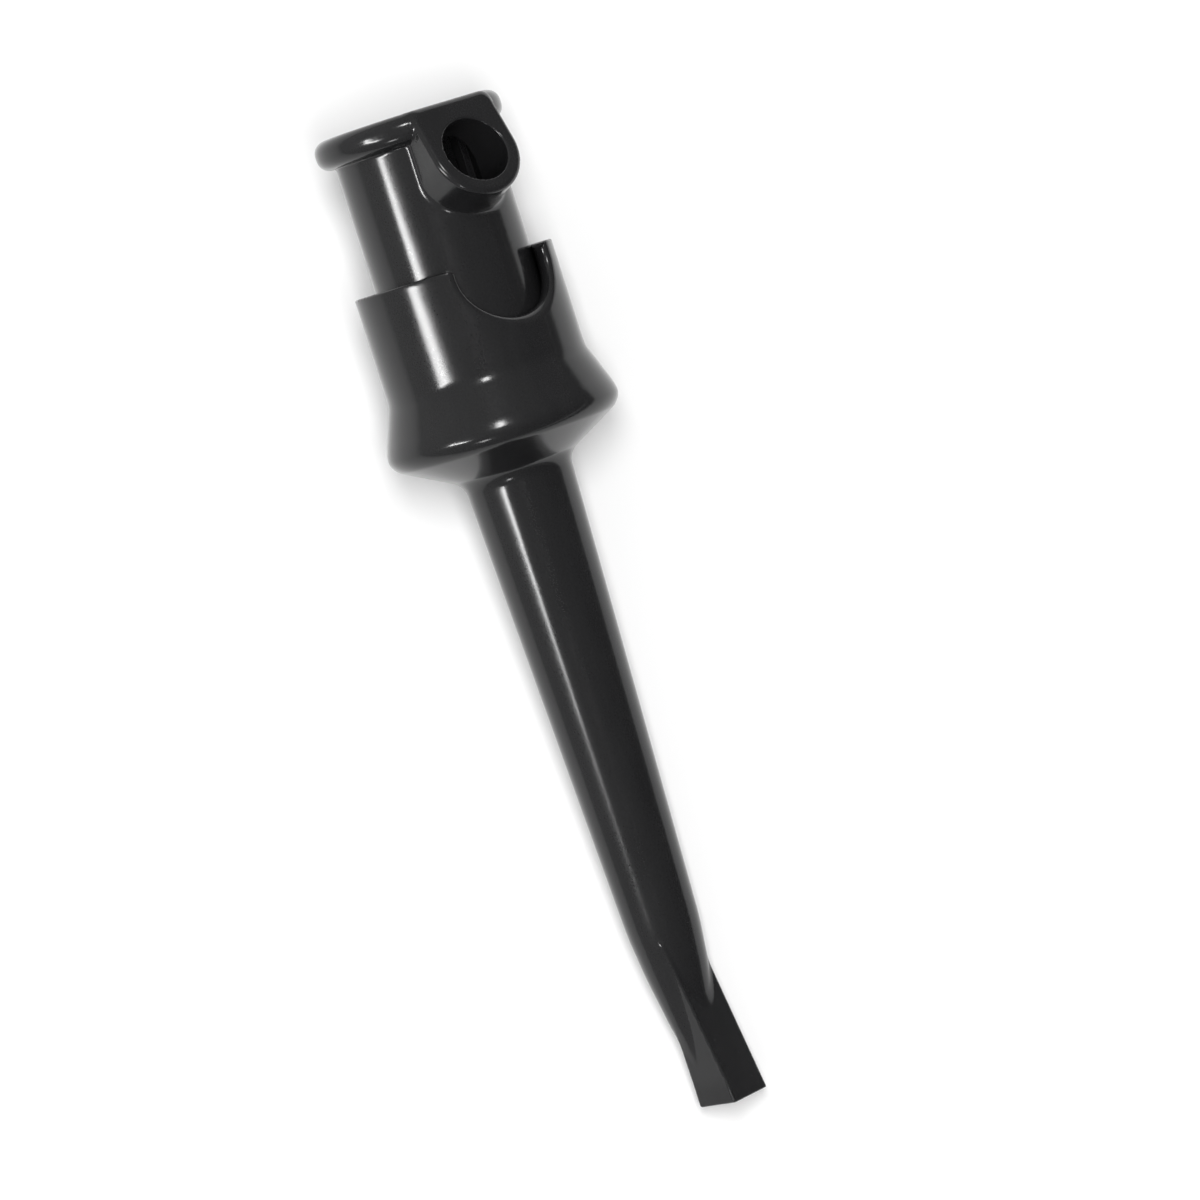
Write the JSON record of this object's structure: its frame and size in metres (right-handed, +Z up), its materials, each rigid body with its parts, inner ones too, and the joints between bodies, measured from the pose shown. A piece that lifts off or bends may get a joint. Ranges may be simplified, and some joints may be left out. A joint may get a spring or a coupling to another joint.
{
  "type": "mini hook test clip",
  "caption": "Plunger test clip: a thumb flange and lead boss slide in a notched cup with a flared collar, and push a wire hook out of a long nose's leaning square tip.",
  "frame": {"origin": "on the bench under the middle of the part's box, as the clip lies on its collar and tip", "axes": "+X along the clip from its tip to its thumb flange, tilted nose down onto the bench; +Z up; the tip leans and the lead boss turns towards -Y"},
  "size_m": [0.0576, 0.0132, 0.0145],
  "materials": {
    "housing": "polished black nylon",
    "plunger": "polished black nylon",
    "hook_wire": "gold-plated copper alloy wire",
    "terminal": "turned brass",
    "return_spring": "drawn stainless spring wire"
  },
  "bodies": {
    "housing_body": {"housing": "housing", "return_spring": "return_spring"},
    "plunger_body": {"plunger": "plunger", "hook_wire": "hook_wire", "terminal": "terminal"}
  },
  "joints": [
    {"name": "plunger_press", "type": "slide", "parent": "housing_body", "child": "plunger_body", "axis": [-0.9928, 0, -0.1195], "range_m": [0, 0.0058], "stiffness_N_per_m": 400, "springref_m": -0.004, "deforming": ["return_spring"]}
  ]
}
